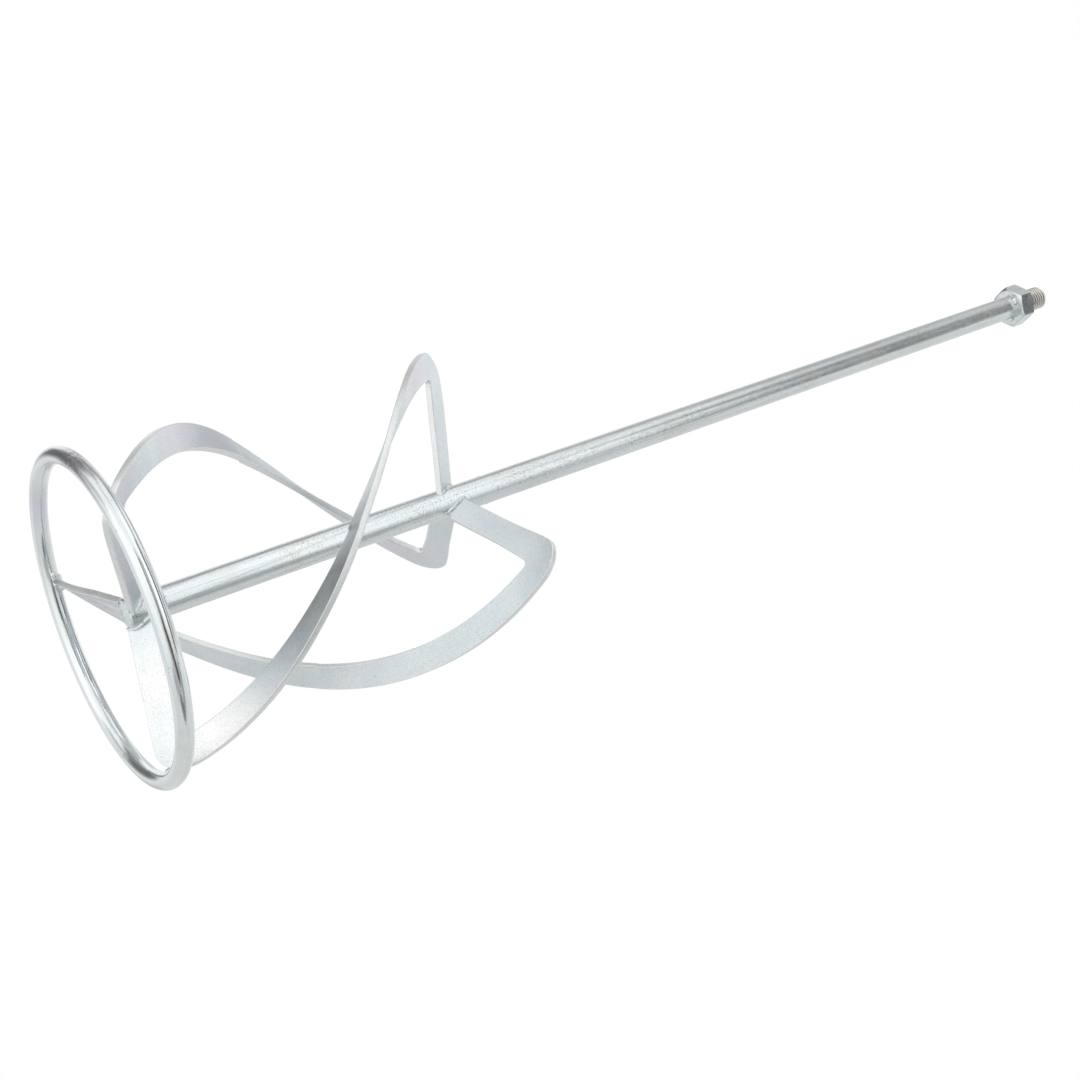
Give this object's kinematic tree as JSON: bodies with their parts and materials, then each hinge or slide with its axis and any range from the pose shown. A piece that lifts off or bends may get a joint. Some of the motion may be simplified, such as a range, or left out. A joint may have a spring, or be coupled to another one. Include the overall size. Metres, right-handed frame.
{
  "type": "mortar mixing paddle",
  "caption": "Zinc-plated steel mixing paddle: a long round shaft with a hexagon and threaded stud, helical C-shaped blades round its lower end and a ring under them.",
  "frame": {"origin": "on the shaft's axis, at the height of the ring's lowest point, where the paddle stands on the ground", "axes": "+Z along the shaft from the ring towards the threaded drive stud; +X through a corner of the hexagon, +Y through a flat of the hexagon"},
  "size_m": [0.156, 0.156, 0.6295],
  "materials": {
    "shaft_zinc": "bright zinc plating on drawn round bar",
    "ring_zinc": "bright, smooth zinc plating on bent round bar",
    "blade_zinc": "satin blue-white zinc plating with a faint lilac passivation tint",
    "nut_zinc": "satin zinc plating, greyer than the shaft",
    "stud_steel": "warm grey threaded steel with bright thread crests",
    "weld_zinc": "zinc-plated weld metal, rippled and spattered"
  },
  "bodies": {
    "root": {"shaft": "shaft_zinc", "hex_nut": "nut_zinc", "drive_stud": "stud_steel", "ring": "ring_zinc", "blade_1": "blade_zinc", "weld_bottom_1": "weld_zinc", "weld_top_1": "weld_zinc", "weld_ring_lower_1": "weld_zinc", "weld_ring_upper_1": "weld_zinc", "blade_2": "blade_zinc", "weld_bottom_2": "weld_zinc", "weld_top_2": "weld_zinc", "weld_ring_lower_2": "weld_zinc", "weld_ring_upper_2": "weld_zinc", "blade_3": "blade_zinc", "weld_bottom_3": "weld_zinc", "weld_top_3": "weld_zinc", "weld_ring_lower_3": "weld_zinc", "weld_ring_upper_3": "weld_zinc", "weld_nut_1": "weld_zinc", "weld_nut_2": "weld_zinc", "weld_nut_3": "weld_zinc"}
  },
  "joints": []
}
